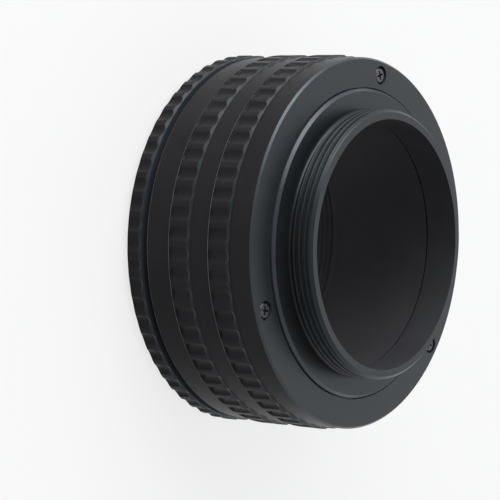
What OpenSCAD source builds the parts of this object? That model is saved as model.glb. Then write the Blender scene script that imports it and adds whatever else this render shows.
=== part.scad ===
// Double helicoid focusing adapter for 42 mm threaded lenses and cameras.
// The part stands on its lens side: z = 0 is the lens seat, +Z runs along the light path to the
// camera side, and everything is drawn with the helicoid fully closed.

/* [Outside] */
// Wall of the focus ring round the guide sleeve, under its plain bands
band_wall = 3.15; // [3:0.05:3.6]
// Height of the grip lands above the plain bands
grip_proud = 0.4; // [0.3:0.05:0.8]
// Width of the fixed grip ring at the lens side
rear_ring_w = 3.6; // [3.4:0.1:4.6]
// Open gap between the fixed ring and the focus ring, closed
ring_gap = 1; // [0.8:0.1:2]
// Width of the plain band next to the gap
rear_band_w = 4.45; // [4:0.05:6]
// Width of the rear grip band
rear_grip_w = 3.85; // [3.4:0.05:5]
// Width of the plain band between the two grip bands
mid_band_w = 3.6; // [3:0.1:5]
// Width of the front grip band
front_grip_w = 3.9; // [3.4:0.1:5]
// Width of the front ring
front_ring_w = 4; // [3.8:0.1:5]
// Height of the camera shoulder above the front ring's face
shoulder_proud = 0.6; // [0.4:0.05:1.2]
// Air between the shoulder disc and the front ring
shoulder_air = 0.25; // [0.15:0.05:0.4]
// Bevel of the front ring's outer edge
front_bevel = 0.3; // [0.1:0.05:0.6]
// Bevel of the lens side's outer edge, along the axis
rear_bevel_h = 1.2; // [0.4:0.1:1.4]
// Bevel of the lens side's outer edge, across the axis
rear_bevel_w = 1.5; // [0.4:0.1:1.8]
// Small bevel on the edges of the bands
edge_bevel = 0.2; // [0.1:0.05:0.3]
// Bevel of the shoulder disc's edge
disc_bevel = 0.4; // [0.2:0.05:0.5]

/* [Grip flutes] */
// Flutes round each grip band
flute_count = 60; // [48:1:66]
// Width of a flute at the land
flute_w = 2.2; // [1.6:0.1:2.3]
// Depth of a flute
flute_depth = 0.35; // [0.2:0.05:0.4]
// Solid rim left behind the closed end of a flute
flute_rim = 0.25; // [0.25:0.05:0.8]
// Bevel at the closed end of a flute
flute_end = 0.2; // [0.1:0.05:0.3]
// Turn of the fixed ring's flutes
rear_flute_turn = 2.2; // [0:0.1:6]
// Turn of the focus ring's flutes
focus_flute_turn = 4.4; // [0:0.1:6]

/* [Mount threads] */
// Nominal diameter of the lens thread and the camera thread
thread_d = 42; // [40:0.5:46]
// Pitch of both mount threads
thread_pitch = 1; // [0.75:0.25:1]
// Length of the threaded tube above the shoulder
tube_len = 4.5; // [3.5:0.1:6]
// Wall of the threaded tube
tube_wall = 1.5; // [1.3:0.05:1.7]
// Bevel at the outer edge of the tube's rim
rim_bevel = 0.45; // [0.2:0.05:0.5]
// Depth of the lens thread from the lens seat
lens_thread_len = 6.5; // [5:0.1:7.5]
// Step between the lens thread and the bore behind it
lens_step = 0.86; // [0.7:0.02:1]
// Opening of the lead-in bevel beyond the lens thread
lead_in = 0.1; // [0.05:0.05:0.3]

/* [Barrels] */
// Wall of the lens barrel below its helicoid thread
lens_wall = 1.6; // [1.45:0.05:1.8]
// Wall of the camera barrel below its helicoid thread
camera_wall = 1.35; // [1.2:0.05:1.45]
// Radial clearance between the two barrels
barrel_clear = 0.2; // [0.15:0.05:0.3]
// Thickness of the camera barrel's end wall
end_wall = 0.8; // [0.6:0.05:1]
// Air between the end wall and the top of the lens barrel, closed
end_air = 0.3; // [0.2:0.05:0.6]

/* [Helicoid] */
// Travel of each barrel against the focus ring
travel = 12; // [8:0.5:12]
// Lead of the helicoid threads: travel in one full turn
lead = 24; // [20:1:30]
// Number of thread starts
starts = 12; // [8:1:14]
// Depth of a helicoid thread
tooth_depth = 0.7; // [0.5:0.05:0.75]
// Width of a thread's crest along the axis
crest_w = 0.55; // [0.4:0.05:0.6]
// Width of a thread's flank along the axis
flank_w = 0.35; // [0.25:0.05:0.4]
// Running clearance of the helicoid threads on every side
tooth_clear = 0.14; // [0.13:0.01:0.18]

/* [Guide] */
// Wall of the guide sleeve
sleeve_wall = 1.4; // [1.3:0.05:1.5]
// Radial air between the camera barrel's thread and the guide sleeve
sleeve_air = 0.35; // [0.3:0.05:0.5]
// Radial running fit of the guide sleeve in the focus sleeve
sleeve_fit = 0.05; // [0.03:0.01:0.08]
// End play of the guide sleeve at each end
sleeve_play = 0.1; // [0.05:0.01:0.2]
// Width of a guide key
key_w = 3.6; // [3:0.1:4.5]
// Side clearance of a key in its slots
key_fit = 0.05; // [0.03:0.01:0.08]
// Depth of a key in the lens barrel below the thread crests
key_bite = 1.15; // [0.9:0.05:1.2]
// Direction of the first guide key
key_angle = 30; // [0:1:119]
// Radius of the stop pin
stop_pin_r = 0.5; // [0.4:0.05:0.6]
// Direction of the stop pin
stop_angle = 90; // [0:1:359]

/* [Inner rings] */
// Length of the rear helicoid ring
collar_len = 3.8; // [3:0.1:4.2]
// Thickness of the rear helicoid ring's flange
collar_flange_t = 1; // [0.9:0.1:1.4]
// Reach of the rear helicoid ring's flange past its seat in the focus sleeve
collar_lip = 2.05; // [1.9:0.05:2.3]
// Thickness of the focus sleeve's inner flange under the front ring
inner_flange_t = 2.7; // [2.4:0.1:3.2]
// Inset of the fixed ring's hub from the edge of the flange above it
hub_inset = 0.5; // [0.3:0.1:0.8]
// Height of the front ring's locating spigot
spigot_h = 0.8; // [0.5:0.1:1]
// Depth of the rear helicoid ring behind the focus ring's rear face
collar_sink = 0.2; // [0.2:0.05:0.5]
// Depth of the plain mouth in front of the front ring's thread
mouth_depth = 0.5; // [0.4:0.05:0.8]
// Depth of the arc recess for the stop pin
stop_groove_h = 0.8; // [0.6:0.1:1.2]

/* [Screws] */
// Direction of the first front ring screw
front_screw_angle = 52; // [0:1:119]
// Radius of a front ring screw's head
front_head_r = 1.25; // [1:0.05:1.35]
// Height of a front ring screw's head
front_head_h = 0.75; // [0.5:0.05:0.9]
// Bevel round a front ring screw's head
head_bevel = 0.2; // [0.1:0.05:0.3]
// Depth of the head's top below the front face
front_head_sink = 0.2; // [0.05:0.05:0.4]
// Radius of the counterbore round the head
counterbore_r = 1.5; // [1.4:0.05:1.6]
// Radius of a front ring screw's shank
front_shank_r = 0.8; // [0.6:0.05:0.8]
// Length of a front ring screw below its head
front_shank_len = 4.6; // [4.2:0.1:4.8]
// Direction of the first rear ring screw
rear_screw_angle = 0; // [0:1:119]
// Depth of a key screw's head below the guide sleeve's surface
key_head_sink = 0.1; // [0.05:0.05:0.15]
// Radius of a countersunk head
sunk_head_r = 1.1; // [0.9:0.05:1.1]
// Radius of a countersunk screw's shank
sunk_shank_r = 0.6; // [0.5:0.05:0.7]
// Length of a rear ring screw
rear_screw_len = 3.6; // [2.6:0.1:4]
// Length of a key screw
key_screw_len = 2.3; // [1.9:0.1:2.6]
// Distance of a key screw from the end of the guide sleeve
key_screw_inset = 2.5; // [2:0.1:3]
// Depth of the stop pin in the guide sleeve
stop_pin_depth = 3; // [2:0.1:4]

/* [Hidden] */

anodised = "#2b2d30";
steel = "#3a3c3f";
brass = "#b08d4a";

$fn = 120;
screw_fn = 32;
flute_fn = 48;
// Guide keys, and screws in the front ring and in the rear helicoid ring
keys = 3;
ring_screws = 3;
// A cut runs this far past the face that it opens
past = 1;
// Solids of one node run this far into each other
fuse = 0.1;
// Seated faces and held cylinders of one body lie this far apart
seat = 0.02;
// Radial play of a screw in its clearance hole
hole_play = 0.05;
// Air between faces that pass each other
air = 0.3;
// Height of the thread ridges as a share of the pitch
ridge_share = 0.54;
// Turn between two layers of a helicoid thread
layer_angle = 7.5;

// Heights of the bands, from the lens seat up
rear_ring_top = rear_ring_w;
focus_z = rear_ring_top + ring_gap;
rear_grip_z = focus_z + rear_band_w;
mid_band_z = rear_grip_z + rear_grip_w;
front_grip_z = mid_band_z + mid_band_w;
front_ring_z = front_grip_z + front_grip_w;
face_z = front_ring_z + front_ring_w;
shoulder_z = face_z + shoulder_proud;
rim_z = shoulder_z + tube_len;

// Radii from the light path outwards
thread_r = thread_d / 2;
tube_bore_r = thread_r - tube_wall;
lens_minor_r = thread_r - ridge_share * thread_pitch;
lens_bore_r = lens_minor_r - lens_step;
lens_root_r = lens_bore_r + lens_wall;
lens_crest_r = lens_root_r + tooth_depth;
camera_in_r = lens_crest_r + barrel_clear;
camera_root_r = camera_in_r + camera_wall;
camera_crest_r = camera_root_r + tooth_depth;
sleeve_in_r = camera_crest_r + sleeve_air;
sleeve_out_r = sleeve_in_r + sleeve_wall;
housing_r = sleeve_out_r + sleeve_fit;
band_r = housing_r + band_wall;
grip_r = band_r + grip_proud;
shoulder_r = camera_crest_r + fuse / 2;
mouth_r = shoulder_r + shoulder_air;
collar_flange_r = housing_r + collar_lip;
hub_r = collar_flange_r - hub_inset;

// Heights of the inner rings and barrels
hub_top = focus_z - air;
collar_z = focus_z + collar_sink;
collar_top = collar_z + collar_len;
camera_tail_z = collar_top + air;
wall_z = shoulder_z - end_wall;
lens_top = wall_z - end_air;
inner_flange_z = front_ring_z - inner_flange_t;
sleeve_z = collar_top + sleeve_play;
sleeve_top = inner_flange_z - sleeve_play;
thread_top = face_z - mouth_depth;

// Guide keys: a wide foot inside the sleeve and a slim tongue above it
key_z = camera_tail_z + air;
key_top = lens_top - air;
key_in_r = lens_crest_r - key_bite;
key_foot_r = sleeve_in_r - seat;
key_tongue_r = camera_root_r - air / 2;
key_step_z = sleeve_top - air;
key_slot_w = key_w + 2 * key_fit;
key_hole_r = (sleeve_in_r + key_in_r) / 2;
key_screw_z = [sleeve_z + key_screw_inset, sleeve_top - key_screw_inset];
key_head_r = sleeve_out_r - key_head_sink;

// Screws and the stop
front_screw_r = (mouth_r + band_r) / 2;
front_head_z = face_z - front_head_sink - front_head_h;
rear_screw_r = collar_flange_r - sunk_head_r - 2 * hole_play;
sunk_head_h = sunk_head_r - sunk_shank_r;
spigot_r = front_screw_r - front_shank_r - air;
stop_r = (sleeve_in_r + sleeve_out_r) / 2;
stop_turn = 360 * travel / lead;

// Angle that a length along the axis takes up on a helicoid thread
function helix_angle(length) = 360 * length / lead;

// One thread start as polar points [radius, angle], for a thread grown by clear on every side
function tooth(root_r, crest_r, clear) =
  let (half_crest = helix_angle(crest_w / 2 + clear), flank = helix_angle(flank_w),
       pitch_a = 360 / starts)
  [ [crest_r + clear, -half_crest], [crest_r + clear, half_crest],
    [root_r + clear, half_crest + flank], [root_r + clear, pitch_a / 2],
    [root_r + clear, pitch_a - half_crest - flank] ];

// Cross-section of a multi-start thread
module thread_section(root_r, crest_r, clear) {
  one = tooth(root_r, crest_r, clear);
  polygon([for (s = [0:starts - 1], p = one)
    let (a = p[1] + s * 360 / starts) [p[0] * cos(a), p[0] * sin(a)]]);
}

// Multi-start thread from z0 to z1; hand is 1 for right-hand and -1 for left-hand
module helicoid(root_r, crest_r, clear, z0, z1, hand) {
  height = z1 - z0;
  translate([0, 0, z0])
    rotate(hand * helix_angle(z0))
      linear_extrude(height = height, twist = -hand * helix_angle(height),
                     slices = ceil(helix_angle(height) / layer_angle), $fn = 5 * starts)
        thread_section(root_r, crest_r, clear);
}

// Solid of revolution with bevelled ends
module ring_blank(r, z0, z1, bevel0, bevel1) {
  rotate_extrude()
    polygon([[0, z0], [r - bevel0, z0], [r, z0 + bevel0], [r, z1 - bevel1], [r - bevel1, z1], [0, z1]]);
}

// Plain round hole or disc from z0 to z1
module disc(r, z0, z1) {
  translate([0, 0, z0]) cylinder(r = r, h = z1 - z0);
}

// Copies round the axis
module around(count, first = 0) {
  for (i = [0:count - 1]) rotate(first + i * 360 / count) children();
}

// Cutters for one band of flutes: round-bottomed, closed behind and open in front
module flutes(z0, z1, turn) {
  cutter_r = flute_w * flute_w / (8 * flute_depth) + flute_depth / 2;
  centre_r = grip_r - flute_depth + cutter_r;
  around(flute_count, turn)
    translate([centre_r, 0, 0])
      ring_blank(cutter_r, z0 + flute_rim, z1 + edge_bevel, flute_end, 0, $fn = flute_fn);
}

// Straight slots for the guide keys, as cutters
module key_slots(r0, r1, z0, z1) {
  around(keys, key_angle)
    translate([r0, -key_slot_w / 2, z0]) cube([r1 - r0, key_slot_w, z1 - z0]);
}

// Fixed lens side: grip ring, lens thread and inner helicoid in one turned piece
module lens_barrel() {
  color(anodised)
    difference() {
      union() {
        difference() {
          rotate_extrude()
            polygon([[0, 0], [grip_r - rear_bevel_w, 0], [grip_r, rear_bevel_h],
              [grip_r, rear_ring_top - edge_bevel], [grip_r - edge_bevel, rear_ring_top], [0, rear_ring_top]]);
          flutes(0, rear_ring_top, rear_flute_turn);
        }
        disc(hub_r, rear_ring_top - past, hub_top);
        disc(lens_root_r - fuse, hub_top - past, hub_top + past);
        helicoid(lens_root_r, lens_crest_r, 0, hub_top + air, lens_top, 1);
      }
      disc(lens_bore_r, -past, lens_top + past);
      disc(lens_minor_r, -past, lens_thread_len);
      rotate_extrude()
        polygon([[0, -past], [thread_r + lead_in + past, -past], [thread_r + lead_in - past, past], [0, past]]);
      key_slots(key_in_r - air / 2, lens_crest_r + past, key_z - air, lens_top + past);
    }
}

// Moving camera side: slotted helicoid tube, shoulder and camera thread in one turned piece
module camera_barrel() {
  color(anodised)
    difference() {
      union() {
        helicoid(camera_root_r, camera_crest_r, 0, camera_tail_z, thread_top + 2 * fuse, -1);
        ring_blank(shoulder_r, thread_top + fuse, shoulder_z, 0, disc_bevel);
        ring_blank(thread_r, shoulder_z - fuse, rim_z, 0, rim_bevel);
      }
      disc(camera_in_r, camera_tail_z - past, wall_z);
      disc(tube_bore_r, wall_z - past, rim_z + past);
      key_slots(camera_in_r - past, camera_crest_r + past, camera_tail_z - past, key_top + air);
    }
}

// Focus ring body: plain and fluted bands outside, guide chamber inside
module focus_sleeve() {
  color(anodised)
    difference() {
      union() {
        ring_blank(band_r, focus_z, front_ring_z, edge_bevel, 0);
        difference() {
          ring_blank(grip_r, rear_grip_z, mid_band_z, edge_bevel, edge_bevel / 2);
          flutes(rear_grip_z, mid_band_z, focus_flute_turn);
        }
        difference() {
          ring_blank(grip_r, front_grip_z, front_ring_z, edge_bevel, edge_bevel / 2);
          flutes(front_grip_z, front_ring_z, focus_flute_turn);
        }
      }
      disc(housing_r, focus_z - past, inner_flange_z);
      disc(collar_flange_r + seat, focus_z - past, collar_z + collar_flange_t + seat);
      disc(sleeve_in_r + fuse, focus_z, front_ring_z + past);
      disc(spigot_r + seat, front_ring_z - spigot_h - seat, front_ring_z + past);
      stop_groove();
      around(ring_screws, front_screw_angle)
        translate([front_screw_r, 0, front_head_z - front_shank_len - air])
          cylinder(r = front_shank_r + seat, h = front_shank_len + air, $fn = screw_fn);
      around(ring_screws, rear_screw_angle)
        translate([rear_screw_r, 0, collar_z])
          cylinder(r = sunk_shank_r + seat, h = rear_screw_len + air, $fn = screw_fn);
    }
}

// Arc recess in the inner flange that lets the stop pin run from closed to fully open
module stop_groove() {
  pin_a = asin((stop_pin_r + fuse) / stop_r);
  translate([0, 0, inner_flange_z - past])
    rotate(stop_angle - stop_turn - pin_a)
      rotate_extrude(angle = stop_turn + 2 * pin_a)
        translate([sleeve_in_r - past, 0])
          square([stop_r + stop_pin_r + fuse - sleeve_in_r + past, past + stop_groove_h]);
}

// Front ring: holds the outer helicoid thread and closes the focus ring
module front_ring() {
  color(anodised)
    difference() {
      union() {
        ring_blank(band_r, front_ring_z + seat, face_z, edge_bevel / 4, front_bevel);
        disc(spigot_r, front_ring_z - spigot_h, front_ring_z + past);
      }
      helicoid(camera_root_r, camera_crest_r, tooth_clear, front_ring_z - spigot_h - past, thread_top + fuse, -1);
      disc(mouth_r, thread_top, face_z + past);
      around(ring_screws, front_screw_angle) {
        translate([front_screw_r, 0, front_ring_z - past])
          cylinder(r = front_shank_r + 2 * hole_play, h = front_ring_w + 2 * past, $fn = screw_fn);
        translate([front_screw_r, 0, front_head_z - seat])
          cylinder(r = counterbore_r, h = front_ring_w, $fn = screw_fn);
      }
    }
}

// Rear helicoid ring: screwed into the back of the focus ring, runs on the lens barrel
module rear_helicoid_ring() {
  color(anodised)
    difference() {
      union() {
        disc(collar_flange_r, collar_z, collar_z + collar_flange_t);
        disc(housing_r - seat, collar_z, collar_top);
      }
      helicoid(lens_root_r, lens_crest_r, tooth_clear, collar_z - past, collar_top + past, 1);
      around(ring_screws, rear_screw_angle)
        translate([rear_screw_r, 0, collar_z]) {
          cylinder(r1 = sunk_head_r + hole_play, r2 = sunk_shank_r + hole_play, h = sunk_head_h, $fn = screw_fn);
          translate([0, 0, -past])
            cylinder(r = sunk_shank_r + hole_play, h = collar_flange_t + 2 * past, $fn = screw_fn);
        }
    }
}

// Guide sleeve: turns freely in the focus ring and carries the keys
module guide_sleeve() {
  color(anodised)
    difference() {
      disc(sleeve_out_r, sleeve_z, sleeve_top);
      disc(sleeve_in_r, sleeve_z - past, sleeve_top + past);
      around(keys, key_angle)
        for (z = key_screw_z) translate([0, 0, z]) rotate([0, 90, 0]) key_screw_hole();
      rotate(stop_angle)
        translate([stop_r, 0, sleeve_top - stop_pin_depth])
          cylinder(r = stop_pin_r + seat, h = stop_pin_depth + past, $fn = screw_fn);
    }
}

// Countersunk hole through the sleeve, along +Z
module key_screw_hole() {
  cylinder(r = sunk_shank_r + hole_play, h = sleeve_out_r + past, $fn = screw_fn);
  translate([0, 0, key_head_r - sunk_head_h])
    cylinder(r1 = sunk_shank_r + hole_play, r2 = sunk_head_r + hole_play, h = sunk_head_h, $fn = screw_fn);
  translate([0, 0, key_head_r]) cylinder(r = sunk_head_r + hole_play, h = past, $fn = screw_fn);
}

// One guide key: foot in the sleeve, tongue reaching up between the barrels
module guide_key(index) {
  color(brass)
    rotate(key_angle + index * 360 / keys)
      difference() {
        union() {
          key_block(key_tongue_r, key_top);
          key_block(key_foot_r, key_step_z);
        }
        for (z = key_screw_z)
          translate([key_hole_r, 0, z]) rotate([0, 90, 0])
            cylinder(r = sunk_shank_r + seat, h = sleeve_in_r, $fn = screw_fn);
      }
}

// Block as wide as a key, from its foot up to z1, with its back rounded to the radius r
module key_block(r, z1) {
  intersection() {
    translate([key_in_r, -key_w / 2, key_z]) cube([r - key_in_r, key_w, z1 - key_z]);
    disc(r, key_z - past, z1 + past);
  }
}

// The two countersunk screws of one key
module key_screws(index) {
  color(steel)
    rotate(key_angle + index * 360 / keys)
      for (z = key_screw_z)
        translate([key_head_r, 0, z]) rotate([0, -90, 0]) countersunk_screw(key_screw_len);
}

// Countersunk screw with its head's top at z = 0 and its point up
module countersunk_screw(length) {
  difference() {
    union() {
      cylinder(r1 = sunk_head_r, r2 = sunk_shank_r, h = sunk_head_h, $fn = screw_fn);
      cylinder(r = sunk_shank_r, h = length, $fn = screw_fn);
    }
    cross_recess(sunk_head_r, sunk_head_h);
  }
}

// Cross recess cut up from z = 0, in proportion to the head's radius and height
module cross_recess(head_r, head_h) {
  reach = 0.6 * head_r;
  width = 0.24 * head_r;
  depth = 0.6 * head_h;
  for (a = [0, 90])
    rotate(a) translate([-reach, -width / 2, -past]) cube([2 * reach, width, depth + past]);
}

// One of the screws that hold the front ring, with a cross recess
module front_screw(index) {
  color(steel)
    rotate(front_screw_angle + index * 360 / ring_screws)
      translate([front_screw_r, 0, front_head_z])
        difference() {
          union() {
            ring_blank(front_head_r, 0, front_head_h, 0, head_bevel, $fn = screw_fn);
            translate([0, 0, -front_shank_len])
              cylinder(r = front_shank_r, h = front_shank_len + fuse, $fn = screw_fn);
          }
          translate([0, 0, front_head_h]) mirror([0, 0, 1]) cross_recess(front_head_r, front_head_h);
        }
}

// One of the screws that hold the rear helicoid ring
module rear_screw(index) {
  color(steel)
    rotate(rear_screw_angle + index * 360 / ring_screws)
      translate([rear_screw_r, 0, collar_z + seat]) countersunk_screw(rear_screw_len);
}

// Dowel in the guide sleeve that meets the ends of the arc recess
module stop_pin() {
  color(steel)
    rotate(stop_angle)
      translate([stop_r, 0, sleeve_top - stop_pin_depth + seat])
        cylinder(r = stop_pin_r, h = stop_pin_depth + sleeve_play + stop_groove_h - air, $fn = screw_fn);
}

lens_barrel();
camera_barrel();
focus_sleeve();
front_ring();
rear_helicoid_ring();
guide_sleeve();
stop_pin();
guide_key(0);  // guide_key_1
guide_key(1);  // guide_key_2
guide_key(2);  // guide_key_3
key_screws(0);  // key_screws_1
key_screws(1);  // key_screws_2
key_screws(2);  // key_screws_3
front_screw(0);  // front_screw_1
front_screw(1);  // front_screw_2
front_screw(2);  // front_screw_3
rear_screw(0);  // rear_screw_1
rear_screw(1);  // rear_screw_2
rear_screw(2);  // rear_screw_3
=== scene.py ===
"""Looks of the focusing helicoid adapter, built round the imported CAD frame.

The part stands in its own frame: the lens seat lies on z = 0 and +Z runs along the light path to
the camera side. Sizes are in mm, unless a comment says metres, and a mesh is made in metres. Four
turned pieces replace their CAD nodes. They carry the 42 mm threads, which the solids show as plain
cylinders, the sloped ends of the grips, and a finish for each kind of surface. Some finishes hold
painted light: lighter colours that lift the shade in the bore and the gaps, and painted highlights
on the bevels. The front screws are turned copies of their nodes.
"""

import math

import bmesh
import bpy
import numpy as np
from mathutils import Matrix, Vector


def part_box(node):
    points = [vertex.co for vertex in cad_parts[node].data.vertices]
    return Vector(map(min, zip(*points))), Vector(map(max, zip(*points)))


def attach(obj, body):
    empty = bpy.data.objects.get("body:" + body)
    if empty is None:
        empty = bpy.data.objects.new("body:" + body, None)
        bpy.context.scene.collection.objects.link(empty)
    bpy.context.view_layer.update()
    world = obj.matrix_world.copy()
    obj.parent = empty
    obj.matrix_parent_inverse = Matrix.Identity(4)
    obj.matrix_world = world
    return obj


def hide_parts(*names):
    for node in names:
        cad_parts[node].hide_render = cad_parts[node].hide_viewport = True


MM = 0.001

# Floor colour, the share of plain white that the camera and reflections see in it, the scale of
# its faint unevenness in waves per metre, and half its side in mm
FLOOR_TONE = 0.7
FLOOR_WHITE = 0.75
FLOOR_SCALE = 30
FLOOR_HALF = 3000

# Surroundings: direction of the bright side, tone opposite it and between, and strength
BRIGHT_SIDE = (0.05, 0.90, 0.43)
DARK_SIDE = 0.10
MIDDLE = 0.50
BRIGHT_TONE = (0.94, 0.97, 1.0)
BRIGHT = 1.15

# Both lamps are large and soft, and aim at the part's middle; in metres and watts
LAMP_AIM = (0, 0, 0.015)
LAMP_SIZE = 0.9

# Sizes that the turned pieces share with the CAD source, in mm
SHOULDER_Z = 25.0
RIM_Z = 29.5
TUBE_R = 21.0
RIM_BEVEL = 0.45
LENS_MINOR_R = 20.46
LENS_THREAD_Z = 0.64
LENS_THREAD_END = 6.5
BAND_R = 29.1
GRIP_R = 29.5
EDGE_BEVEL = 0.2
FLUTE_COUNT = 60
FLUTE_W = 2.2
FLUTE_DEPTH = 0.35
FLUTE_RIM = 0.25
FLUTE_END = 0.2
RING_TOP = 3.6
RING_FOOT_R = 28.0
RING_FOOT_Z = 1.2
HUB_R = 27.5
FOCUS_Z = 4.6
GRIPS = ((9.05, 12.9), (16.5, 20.4))
SPIGOT_R = 25.7

# Turn of the first flute of each piece, in degrees, and points across a flute
FOCUS_FLUTE_TURN = 4.4
REAR_FLUTE_TURN = 2.2
FLUTE_COLUMNS = 11

# Length of the slope at the front end of the grip lands, in mm
LAND_SLOPE = 0.36

# Place of the middle row on a rear bevel that carries a painted highlight, as a share of the bevel
HIGHLIGHT_MIDDLE = 0.4

# The 42 mm threads: each has a depth in mm, and a phase, land and flanks in shares of the pitch
PITCH = 1.0
TUBE_THREAD = (0.3, 0.3, 0.55, 0.4)
LENS_THREAD = (0.3, 0.1, 0.35, 0.5)
THREAD_STEP = 0.05
THREAD_COLUMNS = 240

# The lens thread fades out over a length, which ends this far before the wall's end, in mm
LENS_THREAD_FADE = 0.8
LENS_THREAD_PLAIN = 1.2

# The undercut at the foot of the tube, and how the first ridge rises from it, in mm
UNDERCUT_Z = 25.8
UNDERCUT_R = 20.4
UNDERCUT_STEP = 0.35
UNDERCUT_RISE = 1.2
FOOT_LAP = 0.02

# Height of a step that is meant to be upright, in mm
TINY = 0.001

# Slack in mm for finding a CAD face by its place: on a wall, past an edge, and at a level
NEAR = 0.02
PAST = 0.05
LEVEL = 0.005

# Share of up in a face's direction: from FLAT it is level, below BEVEL sloped, below WALL a wall
FLAT = 0.99
BEVEL = 0.95
WALL = 0.5

# Turn of each front screw's cross from its place in the solid, in degrees
FRONT_SCREW_TURNS = {1: 15, 2: 30, 3: -28}

# Scales of the noise in the materials, in waves per metre, and heights of their bumps in metres
MARKS_SCALE = 1500
MARKS_STRETCH = 6.0
GRAIN_SCALE = 9000
TONE_SCALE = 160
SCATTER_SCALE = 4000
MARKS_HEIGHT = 0.00002
GRAIN_HEIGHT = 0.00003
SCATTER_HEIGHT = 0.00001

# Faint blue in the reflections of the flat faces and their bevels
COOL_TINT = (0.80, 0.91, 1.0, 1)

# Angle from which an edge of a skin is sharp, in degrees
SHARP_EDGE = 28

# Limits in mm that tell the surfaces of the turned pieces apart: the bore and the start of the
# tube's own wall in it, the shaded edge of the inner wall, the bevels, and the gap at the front ring.
# The bore, that edge and the gap get lighter colours as painted light, the bevels a partly painted
# highlight
BORE_R = 21.1
TUBE_WALL_Z = 23.9
INNER_EDGE_R = 22
INNER_EDGE_Z = (23.5, 24.3)
BEVEL_R = 23.5
FRONT_GAP_R = 28.5
FRONT_GAP_Z = 21

# Places of the finishes in the slots of the turned pieces. The bore, inner wall, lens thread and gap
# finishes are lighter colours painted as light into shade; the edge finish is partly a painted
# highlight and the rear bevel finish wholly one
BAND, FACE, BORE, EDGE, GAP, PAINTED_HIGHLIGHT, INNER, THREAD = range(8)


# ---------------------------------------------------------------- meshes

def link_mesh(name, mesh):
    """An object for a mesh, in the scene."""
    obj = bpy.data.objects.new(name, mesh)
    bpy.context.scene.collection.objects.link(obj)
    return obj


def new_object(name, verts, faces):
    """A smooth mesh object from points in mm."""
    mesh = bpy.data.meshes.new(name)
    mesh.from_pydata([tuple(p) for p in np.asarray(verts) * MM], [], faces)
    mesh.validate()
    mesh.polygons.foreach_set("use_smooth", [True] * len(mesh.polygons))
    mesh.update()
    return link_mesh(name, mesh)


def copy_without(node, name, drop):
    """A copy of a CAD node's mesh without some faces.

    A face goes where drop(r, z, nz) is true at every corner, with sizes in mm.
    """
    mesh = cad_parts[node].data.copy()
    mesh.name = name
    obj = link_mesh(name, mesh)
    bm = bmesh.new()
    bm.from_mesh(mesh)
    gone = []
    for face in bm.faces:
        corners = [(math.hypot(v.co.x, v.co.y) / MM, v.co.z / MM) for v in face.verts]
        if all(drop(r, z, face.normal.z) for r, z in corners):
            gone.append(face)
    bmesh.ops.delete(bm, geom=gone, context="FACES")
    bm.to_mesh(mesh)
    bm.free()
    return obj


def turned_grid(name, heights, radius, outward=True):
    """A surface r = radius(angle, z) round the axis, over the given heights in mm."""
    columns = THREAD_COLUMNS
    angles = np.linspace(0, 2 * math.pi, columns, endpoint=False)
    a, z = np.meshgrid(angles, np.asarray(heights, float))
    r = radius(a, z)
    verts = np.stack([r * np.cos(a), r * np.sin(a), z], -1).reshape(-1, 3)
    faces = []
    for i in range(len(heights) - 1):
        for j in range(columns):
            k = (j + 1) % columns
            quad = (i * columns + j, i * columns + k, (i + 1) * columns + k, (i + 1) * columns + j)
            faces.append(quad if outward else quad[::-1])
    return new_object(name, verts, faces)


def thread_depth(angle, z, depth, phase, land, flanks):
    """How far the surface lies below the crests of a right-hand thread, in mm."""
    t = (z / PITCH - angle / (2 * math.pi) + phase) % 1.0
    t = np.abs(t - 0.5) * 2
    return depth * np.clip((t - land) / flanks, 0, 1)


def flute_radius(angle, first, shrink):
    """Radius of the flutes' round bottoms at an angle, for a cutter smaller by shrink."""
    cutter = FLUTE_W ** 2 / (8 * FLUTE_DEPTH) + FLUTE_DEPTH / 2
    centre = GRIP_R - FLUTE_DEPTH + cutter
    step = 2 * math.pi / FLUTE_COUNT
    off = (angle - math.radians(first) + step / 2) % step - step / 2
    room = (cutter - shrink) ** 2 - (centre * np.sin(off)) ** 2
    bottom = centre * np.cos(off) - np.sqrt(np.maximum(room, 0))
    return np.where(room > 0, np.minimum(bottom, GRIP_R), GRIP_R)


def flute_offsets():
    """Angles of the columns across one flute and its land, from the flute's middle, in radians."""
    half = math.asin(FLUTE_W / 2 / GRIP_R)
    across = half * np.linspace(-1, 1, FLUTE_COLUMNS)
    return np.append(across, math.pi / FLUTE_COUNT)


def slope_depths():
    """Radii at which a sloped end crosses the flutes' columns, from the land down to the band."""
    radii = flute_radius(flute_offsets()[:FLUTE_COLUMNS // 2 + 1], 0, 0)
    return np.append(radii, BAND_R)


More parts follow.
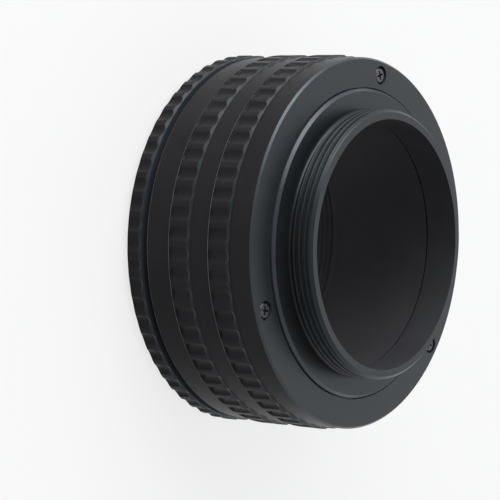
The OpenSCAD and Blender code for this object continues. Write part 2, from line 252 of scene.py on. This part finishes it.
def skin(name, rows, first):
    """The outer skin of a fluted piece, with its first flute turned by first degrees.

    A row is (z, radius, flute shrink or None, finish, slant), in mm. The slant says which way
    the faces above the row are split into triangles, and 0 leaves them whole.
    """
    offsets = flute_offsets()
    middles = math.radians(first) + np.arange(FLUTE_COUNT) * 2 * math.pi / FLUTE_COUNT
    angles = (middles[:, None] + offsets[None, :]).ravel()
    columns = len(angles)
    falls = np.tile(offsets < -1e-6, FLUTE_COUNT)
    verts = []
    for z, radius, shrink, _, _ in rows:
        r = np.full(columns, float(radius))
        if shrink is not None:
            r = np.minimum(r, flute_radius(angles, first, shrink))
        verts.append(np.stack([r * np.cos(angles), r * np.sin(angles), np.full(columns, z)], 1))
    faces = []
    finishes = []
    for i, (_, _, _, finish, slant) in enumerate(rows[:-1]):
        for j in range(columns):
            k = (j + 1) % columns
            a, b = i * columns + j, i * columns + k
            d, c = a + columns, b + columns
            if slant == 0:
                parts = [(a, b, c, d)]
            elif falls[j] == (slant > 0):
                parts = [(a, b, c), (a, c, d)]
            else:
                parts = [(a, b, d), (b, c, d)]
            faces.extend(parts)
            finishes.extend([finish] * len(parts))
    obj = new_object(name, np.concatenate(verts), faces)
    obj.data.polygons.foreach_set("material_index", finishes)
    obj.data.set_sharp_from_angle(angle=math.radians(SHARP_EDGE))
    return obj


def front_slope(z1):
    """Rows of a grip's sloped front end, which meets the next band at z1."""
    share = LAND_SLOPE / (GRIP_R - BAND_R)
    return [(z1 - share * (r - BAND_R), r, 0, FACE, 1) for r in slope_depths()[:-1]]


def highlighted_edge(z, radius):
    """Rows of a rear edge whose bevel carries a painted highlight, in mm."""
    share = HIGHLIGHT_MIDDLE * EDGE_BEVEL
    return [
        (z, radius - EDGE_BEVEL, None, PAINTED_HIGHLIGHT, 0),
        (z + share, radius - share, None, PAINTED_HIGHLIGHT, 0),
        (z + EDGE_BEVEL, radius, None, BAND, 0),
    ]


def grip_rows(z0, z1):
    """Rows of one grip band on the focus ring, from its rear edge to its front edge."""
    closed = z0 + FLUTE_RIM
    # The rear edge's bevel carries a painted highlight
    rows = [(z0, BAND_R, None, BAND, 0)] + highlighted_edge(z0, GRIP_R) + [
        (closed, GRIP_R, None, BAND, 0),
        (closed + TINY, GRIP_R, FLUTE_END, BAND, 0),
        (closed + FLUTE_END, GRIP_R, 0, BAND, 0),
    ]
    return rows + front_slope(z1)


def focus_skin():
    """Bands and grips of the focus ring."""
    # The rear edge's bevel carries a painted highlight
    rows = highlighted_edge(FOCUS_Z, BAND_R)
    for z0, z1 in GRIPS:
        rows += grip_rows(z0, z1)
        rows.append((z1, BAND_R, None, BAND, 0))
    rows.append((GRIPS[-1][1], SPIGOT_R, None, BAND, 0))
    return skin("focus_skin", rows, FOCUS_FLUTE_TURN)


def ring_skin():
    """Fluted outside of the fixed ring, with the flutes running out at both ends."""
    rows = [(0, RING_FOOT_R, None, BAND, 0)]
    share = RING_FOOT_Z / (GRIP_R - RING_FOOT_R)
    rows += [((r - RING_FOOT_R) * share, r, 0, BAND, -1) for r in slope_depths()[:-1][::-1]]
    rows[-1] = rows[-1][:4] + (0,)
    rows += front_slope(RING_TOP)
    # The ring's front face takes the lighter gap colour, painted as light in the gap
    rows.append((RING_TOP, BAND_R, None, GAP, 0))
    rows.append((RING_TOP, HUB_R, None, GAP, 0))
    return skin("ring_skin", rows, REAR_FLUTE_TURN)


def is_focus_skin(r, z, nz):
    """True on the focus ring's outer skin and on its front end face."""
    outside = r > BAND_R - EDGE_BEVEL - PAST and (nz > -FLAT or z > FOCUS_Z + 2 * PAST)
    return outside or (nz > FLAT and abs(z - GRIPS[-1][1]) < LEVEL)


def is_ring_skin(r, z, nz):
    """True on the fixed ring's outer skin and top, and on the plain wall of the lens thread."""
    outside = r > RING_FOOT_R - PAST and nz > -FLAT
    top = nz > FLAT and abs(z - RING_TOP) < LEVEL
    return outside or top or is_lens_thread_wall(r, z)


def is_tube_outside(r, z, nz):
    """True on the plain outer wall and rim bevel of the solid's tube, where the thread goes."""
    wall = abs(r - TUBE_R) < NEAR and z > SHOULDER_Z - NEAR / 2
    bevel = r > TUBE_R - RIM_BEVEL - NEAR and z > RIM_Z - RIM_BEVEL - NEAR and nz < FLAT
    return wall or bevel


def is_lens_thread_wall(r, z):
    """True on the plain wall of the solid's lens thread."""
    return abs(r - LENS_MINOR_R) < NEAR and LENS_THREAD_Z - PAST < z < LENS_THREAD_END + PAST


def camera_tube():
    """The threaded tube's outside above the shoulder, from its undercut to the rim."""
    foot_rows = [SHOULDER_Z, SHOULDER_Z + TINY, UNDERCUT_Z - TINY, UNDERCUT_Z]
    ridge_rows = np.arange(UNDERCUT_Z + THREAD_STEP, RIM_Z, THREAD_STEP)
    heights = np.concatenate([foot_rows, ridge_rows, [RIM_Z]])

    def radius(angle, z):
        shape = TUBE_R - thread_depth(angle, z, *TUBE_THREAD)
        foot = UNDERCUT_R + UNDERCUT_STEP + (z - UNDERCUT_Z) * UNDERCUT_RISE
        lip = TUBE_R - RIM_BEVEL + (RIM_Z - z)
        r = np.minimum(np.minimum(shape, foot), lip)
        r = np.where(z < UNDERCUT_Z - TINY / 2, UNDERCUT_R, r)
        return np.where(z < SHOULDER_Z + TINY / 2, TUBE_R + FOOT_LAP, r)

    return turned_grid("camera_tube_thread", heights, radius)


def lens_thread():
    """The female thread in the lens side's bore, fading out before the step at its blind end."""
    rows = np.arange(LENS_THREAD_Z, LENS_THREAD_END, THREAD_STEP)
    heights = np.concatenate([rows, [LENS_THREAD_END]])
    full_depth = LENS_THREAD[0]

    def radius(angle, z):
        left = np.clip((LENS_THREAD_END - LENS_THREAD_PLAIN - z) / LENS_THREAD_FADE, 0, 1)
        depth = full_depth - thread_depth(angle, z, *LENS_THREAD)
        return LENS_MINOR_R + depth * left

    return turned_grid("lens_thread", heights, radius, outward=False)


def turned_screw(node, name, turn):
    """A copy of a screw that is turned on its own axis, by degrees."""
    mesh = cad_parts[node].data.copy()
    mesh.name = name
    low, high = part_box(node)
    centre = Vector(((low[0] + high[0]) / 2, (low[1] + high[1]) / 2, 0))
    rotation = Matrix.Rotation(math.radians(turn), 4, "Z")
    mesh.transform(Matrix.Translation(centre) @ rotation @ Matrix.Translation(-centre))
    return link_mesh(name, mesh)


def join(name, pieces):
    """One object made of several meshes."""
    bm = bmesh.new()
    for piece in pieces:
        bm.from_mesh(piece.data)
    mesh = bpy.data.meshes.new(name)
    bm.to_mesh(mesh)
    bm.free()
    for piece in pieces:
        bpy.data.objects.remove(piece)
    return link_mesh(name, mesh)


# ---------------------------------------------------------------- materials

class Nodes:
    """Short names for building one material's node tree."""

    def __init__(self, name):
        self.material = bpy.data.materials.new(name)
        self.material.use_nodes = True
        self.tree = self.material.node_tree
        self.shader = self.tree.nodes["Principled BSDF"]

    def add(self, kind):
        return self.tree.nodes.new(kind)

    def link(self, a, b):
        self.tree.links.new(a, b)

    def math(self, operation, a, b=None):
        node = self.add("ShaderNodeMath")
        node.operation = operation
        for i, x in enumerate((a, b)):
            if x is None:
                continue
            if isinstance(x, (int, float)):
                node.inputs[i].default_value = x
            else:
                self.link(x, node.inputs[i])
        return node.outputs[0]

    def ramp(self, value, low, high):
        """A colour that goes from one to another between two places, each given with its place."""
        node = self.add("ShaderNodeValToRGB")
        for element, (place, colour) in zip(node.color_ramp.elements, (low, high)):
            element.position = place
            element.color = (*colour, 1)
        self.link(value, node.inputs[0])
        return node.outputs[0]

    def noise(self, vector, scale, detail, roughness=0.5):
        node = self.add("ShaderNodeTexNoise")
        node.inputs["Scale"].default_value = scale
        node.inputs["Detail"].default_value = detail
        node.inputs["Roughness"].default_value = roughness
        self.link(vector, node.inputs["Vector"])
        return node.outputs["Fac"]

    def varied(self, value, middle, spread):
        """A number that lies round a middle and varies by spread with a value of 0 to 1."""
        return self.math("ADD", self.math("MULTIPLY", value, spread), middle - spread / 2)

    def bump(self, height, strength, distance):
        node = self.add("ShaderNodeBump")
        node.inputs["Strength"].default_value = strength
        node.inputs["Distance"].default_value = distance
        self.link(height, node.inputs["Height"])
        return node


def anodised(name, colour, lighter, roughness, grain, marks, specular=0.5):
    """Black anodised aluminium: fine blasted grain over faint turning marks, uneven in its tone."""
    n = Nodes(name)
    place = n.add("ShaderNodeTexCoord").outputs["Object"]
    split = n.add("ShaderNodeSeparateXYZ")
    n.link(place, split.inputs[0])
    x, y, z = split.outputs
    r = n.math("SQRT", n.math("ADD", n.math("MULTIPLY", x, x), n.math("MULTIPLY", y, y)))
    turned = n.add("ShaderNodeCombineXYZ")
    n.link(n.math("MULTIPLY", r, MARKS_STRETCH), turned.inputs[0])
    n.link(n.math("MULTIPLY", z, MARKS_STRETCH), turned.inputs[1])
    lines = n.noise(turned.outputs[0], MARKS_SCALE, 3)
    blast = n.noise(place, GRAIN_SCALE, 3, 0.6)
    patches = n.noise(place, TONE_SCALE, 4, 0.6)
    tone = n.ramp(patches, (0.3, colour), (0.75, lighter))
    n.link(tone, n.shader.inputs["Base Color"])
    n.link(n.varied(blast, roughness, 0.12), n.shader.inputs["Roughness"])
    n.shader.inputs["Specular IOR Level"].default_value = specular
    marked = n.bump(lines, marks, MARKS_HEIGHT)
    grained = n.bump(blast, grain, GRAIN_HEIGHT)
    n.link(marked.outputs[0], grained.inputs["Normal"])
    n.link(grained.outputs[0], n.shader.inputs["Normal"])
    return n.material


def metal(name, colour, lighter, roughness):
    """Bare or blackened metal with fine machining scatter."""
    n = Nodes(name)
    place = n.add("ShaderNodeTexCoord").outputs["Object"]
    fine = n.noise(place, SCATTER_SCALE, 3)
    tone = n.ramp(fine, (0.3, colour), (0.8, lighter))
    n.link(tone, n.shader.inputs["Base Color"])
    n.link(n.varied(fine, roughness, 0.2), n.shader.inputs["Roughness"])
    n.shader.inputs["Metallic"].default_value = 1.0
    scattered = n.bump(fine, 0.3, SCATTER_HEIGHT)
    n.link(scattered.outputs[0], n.shader.inputs["Normal"])
    return n.material


def cool(material):
    """Gives a material the faint blue of its reflections."""
    shader = material.node_tree.nodes["Principled BSDF"]
    shader.inputs["Specular Tint"].default_value = COOL_TINT
    return material


def paint(obj, material):
    """Gives every slot of an object one material."""
    if not obj.data.materials:
        obj.data.materials.append(material)
    for i in range(len(obj.data.materials)):
        obj.data.materials[i] = material


def finish_at(radius, height, out, nz):
    """The finish at a place in mm, on a face whose direction points out and up by those shares."""
    low, high = INNER_EDGE_Z
    if abs(nz) > WALL:
        # The shaded edge of the inner wall takes the lighter gap colour, painted as light
        if radius < INNER_EDGE_R and low < height < high:
            return GAP
        # Bevels take the edge finish, which is partly a painted highlight
        return EDGE if abs(nz) < BEVEL and radius > BEVEL_R else FACE
    # The bore and the inner wall get lighter colours, painted as light into their shade
    if out < -WALL and radius < BORE_R:
        return BORE if height > TUBE_WALL_Z else INNER
    # Counterbore walls at the front take the lighter gap colour, painted as light into their shade
    if radius > BEVEL_R and height > FRONT_GAP_Z:
        return GAP if radius < FRONT_GAP_R else BAND
    # The fixed ring's front face in the gap takes the lighter gap colour, painted as light
    if RING_TOP < height < FOCUS_Z and radius > HUB_R - 2 * PAST:
        return GAP
    return BAND


def place_finishes(obj):
    """Sets the finish of each face of a turned piece by its place and direction."""
    for polygon in obj.data.polygons:
        centre = polygon.center
        normal = polygon.normal
        reach = math.hypot(centre.x, centre.y)
        out = (normal.x * centre.x + normal.y * centre.y) / reach
        polygon.material_index = finish_at(reach / MM, centre.z / MM, out, normal.z)
    return obj


def one_finish(obj, finish):
    """Sets one finish for a whole mesh."""
    obj.data.polygons.foreach_set("material_index", [finish] * len(obj.data.polygons))
    return obj


def make_finishes():
    """The finishes of the turned pieces, in the order of their places in the slots."""
    band = anodised("anodised_turned", (0.0130, 0.0118, 0.0134), (0.0175, 0.0162, 0.0182),
                    roughness=0.34, grain=0.25, marks=0.25, specular=0.07)
    face = anodised("anodised_face", (0.009, 0.0102, 0.0115), (0.012, 0.0138, 0.0155),
                    roughness=0.32, grain=0.4, marks=0.15, specular=0.37)
    # Painted light: the bore, its inner wall and the lens thread get base colours several times
    # lighter than the bands, to lift the shade deep in the tube
    bore = anodised("anodised_bore_painted_light", (0.026, 0.026, 0.030), (0.032, 0.033, 0.038),
                    roughness=0.6, grain=0.3, marks=0.3, specular=0.2)
    inner = anodised("anodised_inner_painted_light", (0.031, 0.031, 0.036), (0.038, 0.038, 0.044),
                     roughness=0.6, grain=0.3, marks=0.3, specular=0.2)
    thread = anodised("anodised_thread_painted_light", (0.055, 0.054, 0.062), (0.066, 0.065, 0.075),
                      roughness=0.6, grain=0.3, marks=0.3, specular=0.2)
    # Partly painted highlight: the bevels get a lighter base colour than the faces, on top of their
    # real glossier finish
    edge = anodised("anodised_glossy_edge_painted_highlight", (0.014, 0.016, 0.019), (0.026, 0.030, 0.034),
                    roughness=0.24, grain=0.2, marks=0.2, specular=0.65)
    # Painted light: the gaps, counterbore walls and the inner wall's edge get a lighter, bluer colour
    # than the bands, to lift their shade
    gap = anodised("anodised_gap_painted_light", (0.025, 0.029, 0.037), (0.034, 0.038, 0.048),
                   roughness=0.5, grain=0.2, marks=0.2, specular=0.45)
    # Painted highlight: the rear bevels get a base colour many times lighter than the bands, for a
    # bright line
    highlight = anodised("anodised_painted_highlight", (0.16, 0.16, 0.175), (0.24, 0.24, 0.26),
                    roughness=0.35, grain=0.2, marks=0.2, specular=0.5)
    return band, cool(face), bore, cool(edge), gap, highlight, inner, thread


def make_brass():
    """Machined brass of the keys."""
    return metal("key_brass", (0.45, 0.30, 0.11), (0.62, 0.45, 0.20), roughness=0.35)


def make_steel():
    """Blackened steel of the screws and the pin."""
    return metal("black_steel", (0.05, 0.05, 0.052), (0.16, 0.16, 0.165), roughness=0.35)


def make_greased():
    """Dark, greased finish of the hidden rings."""
    return anodised("anodised_helicoid", (0.012, 0.012, 0.012), (0.02, 0.02, 0.02),
                    roughness=0.3, grain=0.1, marks=0.5)


def give_finishes(obj, finishes):
    """Fills the slots of a turned piece."""
    for material in finishes:
        obj.data.materials.append(material)


def paint_nodes(band, steel, brass, greased):
    """Gives each carried-over CAD node its material."""
    for name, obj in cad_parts.items():
        if name.startswith("guide_key"):
            paint(obj, brass)
        elif "screw" in name or name == "stop_pin":
            paint(obj, steel)
        elif name in ("rear_helicoid_ring", "guide_sleeve"):
            paint(obj, greased)
        else:
            paint(obj, band)


# ---------------------------------------------------------------- stage

def make_camera():
    """Pinhole camera fitted to the circles and band edges of the photograph.

    Its matrix is made of its right, up and back directions and its place.
    """
    data = bpy.data.cameras.new("camera")
    data.sensor_width = 36
    data.lens = 167.31
    data.clip_start = 0.01
    data.clip_end = 20
    obj = bpy.data.objects.new("camera", data)
    right = (-0.034064, 0.597539, 0.801115)
    up = (-0.999097, 0.0, -0.042482)
    back = (-0.025385, -0.801839, 0.597000)
    spot = (-7.61 * MM, -302.36 * MM, 227.71 * MM)
    obj.matrix_world = Matrix([[right[i], up[i], back[i], spot[i]] for i in range(3)] + [[0, 0, 0, 1]])
    bpy.context.scene.collection.objects.link(obj)
    bpy.context.scene.camera = obj


def make_floor():
    """Plain pale floor, which keeps the part's soft shadow."""
    half = FLOOR_HALF
    corners = [[-half, -half, 0], [half, -half, 0], [half, half, 0], [-half, half, 0]]
    floor = new_object("floor", corners, [(0, 1, 2, 3)])
    n = Nodes("floor_white")
    place = n.add("ShaderNodeTexCoord").outputs["Object"]
    uneven = n.noise(place, FLOOR_SCALE, 2)
    tone = n.ramp(uneven, (0.3, [FLOOR_TONE] * 3), (0.7, [FLOOR_TONE + 0.02] * 3))
    n.link(tone, n.shader.inputs["Base Color"])
    n.shader.inputs["Roughness"].default_value = 0.9
    n.shader.inputs["Specular IOR Level"].default_value = 0.2
    path = n.add("ShaderNodeLightPath")
    seen = n.math("MAXIMUM", path.outputs["Is Camera Ray"], path.outputs["Is Glossy Ray"])
    seen = n.math("MAXIMUM", seen, path.outputs["Is Transmission Ray"])
    white = n.add("ShaderNodeEmission")
    mix = n.add("ShaderNodeMixShader")
    n.link(n.math("MULTIPLY", seen, FLOOR_WHITE), mix.inputs[0])
    n.link(n.shader.outputs[0], mix.inputs[1])
    n.link(white.outputs[0], mix.inputs[2])
    n.link(mix.outputs[0], n.tree.nodes["Material Output"].inputs["Surface"])
    paint(floor, n.material)


def area_light(name, spot, power):
    """A round soft lamp at a spot in metres, aimed at the part."""
    data = bpy.data.lights.new(name, "AREA")
    data.shape = "DISK"
    data.size = LAMP_SIZE
    data.energy = power
    obj = bpy.data.objects.new(name, data)
    obj.location = spot
    obj.rotation_mode = "QUATERNION"
    obj.rotation_quaternion = (Vector(LAMP_AIM) - Vector(spot)).to_track_quat("-Z", "Y")
    bpy.context.scene.collection.objects.link(obj)


def make_light():
    """Soft white surroundings with one brighter side, and two lamps above the picture's top edge."""
    make_world()
    area_light("key", spot=(-0.66, -0.20, 0.10), power=7.5)
    area_light("top", spot=(-0.62, -0.06, 0.42), power=2.4)


def make_world():
    """Surroundings that go from dark to bright towards BRIGHT_SIDE."""
    world = bpy.data.worlds.new("world")
    world.use_nodes = True
    bpy.context.scene.world = world
    tree = world.node_tree
    back = tree.nodes["Background"]
    place = tree.nodes.new("ShaderNodeTexCoord")
    dot = tree.nodes.new("ShaderNodeVectorMath")
    dot.operation = "DOT_PRODUCT"
    dot.inputs[1].default_value = BRIGHT_SIDE
    tree.links.new(place.outputs["Generated"], dot.inputs[0])
    ramp = tree.nodes.new("ShaderNodeValToRGB")
    shift = tree.nodes.new("ShaderNodeMath")
    shift.operation = "MULTIPLY_ADD"
    shift.inputs[1].default_value = 0.5
    shift.inputs[2].default_value = 0.5
    tree.links.new(dot.outputs["Value"], shift.inputs[0])
    tree.links.new(shift.outputs[0], ramp.inputs[0])
    elements = ramp.color_ramp.elements
    elements[0].position = 0.0
    elements[0].color = (*[DARK_SIDE] * 3, 1)
    elements[1].position = 1.0
    elements[1].color = (*BRIGHT_TONE, 1)
    middle = elements.new(0.45)
    middle.color = (*[MIDDLE] * 3, 1)
    tree.links.new(ramp.outputs[0], back.inputs["Color"])
    back.inputs["Strength"].default_value = BRIGHT


# ---------------------------------------------------------------- the part

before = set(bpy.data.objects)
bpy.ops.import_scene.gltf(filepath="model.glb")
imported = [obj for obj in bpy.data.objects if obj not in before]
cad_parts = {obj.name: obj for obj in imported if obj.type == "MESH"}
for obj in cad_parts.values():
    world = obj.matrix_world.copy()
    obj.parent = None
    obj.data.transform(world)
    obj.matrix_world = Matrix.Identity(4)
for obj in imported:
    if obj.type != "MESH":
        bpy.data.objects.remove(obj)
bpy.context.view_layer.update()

make_camera()
make_floor()
make_light()

camera_side = join("camera_side_turned", [
    place_finishes(copy_without("camera_barrel", "camera_copy", is_tube_outside)),
    one_finish(camera_tube(), FACE),
])
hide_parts("camera_barrel")
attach(camera_side, "camera_side")

lens_side = join("lens_side_turned", [
    place_finishes(copy_without("lens_barrel", "lens_copy", is_ring_skin)),
    # The lens thread gets a lighter colour, painted as light deep in the bore
    one_finish(lens_thread(), THREAD),
    ring_skin(),
])
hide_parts("lens_barrel")
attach(lens_side, "lens_side")

focus_body = join("focus_sleeve_turned", [
    place_finishes(copy_without("focus_sleeve", "focus_copy", is_focus_skin)),
    focus_skin(),
])
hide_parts("focus_sleeve")
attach(focus_body, "focus_ring")

front = join("front_ring_turned", [
    place_finishes(copy_without("front_ring", "front_copy", lambda r, z, nz: False)),
])
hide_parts("front_ring")
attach(front, "focus_ring")

for number, turn in FRONT_SCREW_TURNS.items():
    screw = turned_screw(f"front_screw_{number}", f"front_screw_turned_{number}", turn)
    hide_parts(f"front_screw_{number}")
    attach(screw, "focus_ring")

finishes = make_finishes()
steel = make_steel()
brass = make_brass()
greased = make_greased()

for number in FRONT_SCREW_TURNS:
    paint(bpy.data.objects[f"front_screw_turned_{number}"], steel)
for piece in (camera_side, lens_side, focus_body, front):
    give_finishes(piece, finishes)
paint_nodes(finishes[BAND], steel, brass, greased)

bpy.context.scene.view_settings.view_transform = "Standard"
